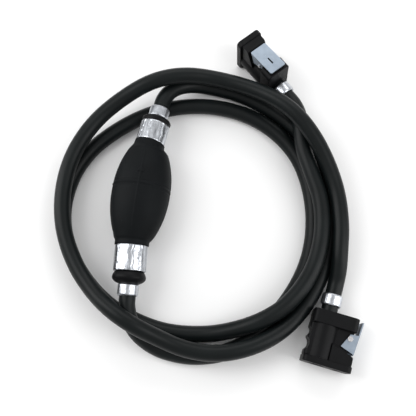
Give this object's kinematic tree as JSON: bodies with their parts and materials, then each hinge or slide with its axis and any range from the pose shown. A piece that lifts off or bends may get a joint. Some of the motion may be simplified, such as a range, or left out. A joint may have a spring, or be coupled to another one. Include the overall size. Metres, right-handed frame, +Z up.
{
  "type": "siphon bulb pump",
  "caption": "Hand-squeezed rubber priming bulb with a check valve at each end, in a coiled fuel hose that ends in latching quick connectors.",
  "frame": {"origin": "on the ground, under the middle of the bulb with its two valves and ferrules", "axes": "+Y along the bulb from its inlet end to its outlet end, +Z up"},
  "size_m": [0.2767, 0.2976, 0.05],
  "materials": {
    "bulb_rubber": "satin",
    "hose_rubber": "satin",
    "sleeve_aluminium": "rolled, lightly dented",
    "ferrule_metal": "crimped",
    "valve_plastic": "satin",
    "poppet_plastic": "smooth",
    "connector_plastic": "moulded satin",
    "barb_brass": "machined",
    "latch_zinc": "zinc plated",
    "pin_steel": "bright",
    "spring_steel": "bright",
    "seal_rubber": "smooth"
  },
  "bodies": {
    "line": {"bulb": "bulb_rubber", "inlet_sleeve": "sleeve_aluminium", "outlet_sleeve": "sleeve_aluminium", "inlet_valve_body": "valve_plastic", "inlet_spring": "spring_steel", "inlet_spring_cage": "valve_plastic", "outlet_valve_body": "valve_plastic", "outlet_spring": "spring_steel", "outlet_seat_ring": "valve_plastic", "inlet_ferrule": "ferrule_metal", "outlet_ferrule": "ferrule_metal", "tank_hose": "hose_rubber", "engine_hose": "hose_rubber", "tank_ferrule": "ferrule_metal", "engine_ferrule": "ferrule_metal", "tank_rear_cap": "connector_plastic", "tank_housing": "connector_plastic", "tank_hose_barb": "barb_brass", "tank_latch_pin": "pin_steel", "tank_latch_spring": "spring_steel", "tank_port_seal": "seal_rubber", "tank_plunger_spring": "spring_steel", "engine_rear_cap": "connector_plastic", "engine_housing": "connector_plastic", "engine_hose_barb": "barb_brass", "engine_latch_pin": "pin_steel", "engine_latch_spring": "spring_steel", "engine_port_seal": "seal_rubber", "engine_plunger_spring": "spring_steel"},
    "inlet_valve": {"inlet_poppet": "poppet_plastic"},
    "outlet_valve": {"outlet_poppet": "poppet_plastic"},
    "tank_latch": {"tank_latch_lever": "latch_zinc"},
    "engine_latch": {"engine_latch_lever": "latch_zinc"},
    "tank_plunger": {"tank_check_plunger": "poppet_plastic"},
    "engine_plunger": {"engine_check_plunger": "poppet_plastic"}
  },
  "joints": [
    {"name": "inlet_valve_lift", "type": "slide", "parent": "line", "child": "inlet_valve", "axis": [-0.0871, 0.995, 0.0489], "range_m": [0, 0.0025], "stiffness_N_per_m": 60, "deforming": ["inlet_spring"]},
    {"name": "outlet_valve_lift", "type": "slide", "parent": "line", "child": "outlet_valve", "axis": [0.1044, 0.9933, -0.0488], "range_m": [0, 0.0025], "stiffness_N_per_m": 60, "deforming": ["outlet_spring"]},
    {"name": "tank_plunger_push", "type": "slide", "parent": "line", "child": "tank_plunger", "axis": [0.7176, -0.693, 0.0698], "range_m": [0, 0.003], "stiffness_N_per_m": 700, "deforming": ["tank_plunger_spring"]},
    {"name": "tank_latch_press", "type": "hinge", "parent": "line", "child": "tank_latch", "pos_m": [0.0909, 0.13812, 0.03614], "axis": [0.6947, 0.7193, 0], "range_deg": [0, 7], "stiffness_Nm_per_rad": 0.4, "deforming": ["tank_latch_spring"]},
    {"name": "engine_plunger_push", "type": "slide", "parent": "line", "child": "engine_plunger", "axis": [0.1392, 0.9903, 0], "range_m": [0, 0.003], "stiffness_N_per_m": 700, "deforming": ["engine_plunger_spring"]},
    {"name": "engine_latch_press", "type": "hinge", "parent": "line", "child": "engine_latch", "pos_m": [0.19137, -0.09175, 0.012], "axis": [0, 0, 1], "range_deg": [0, 7], "stiffness_Nm_per_rad": 0.4, "deforming": ["engine_latch_spring"]}
  ]
}
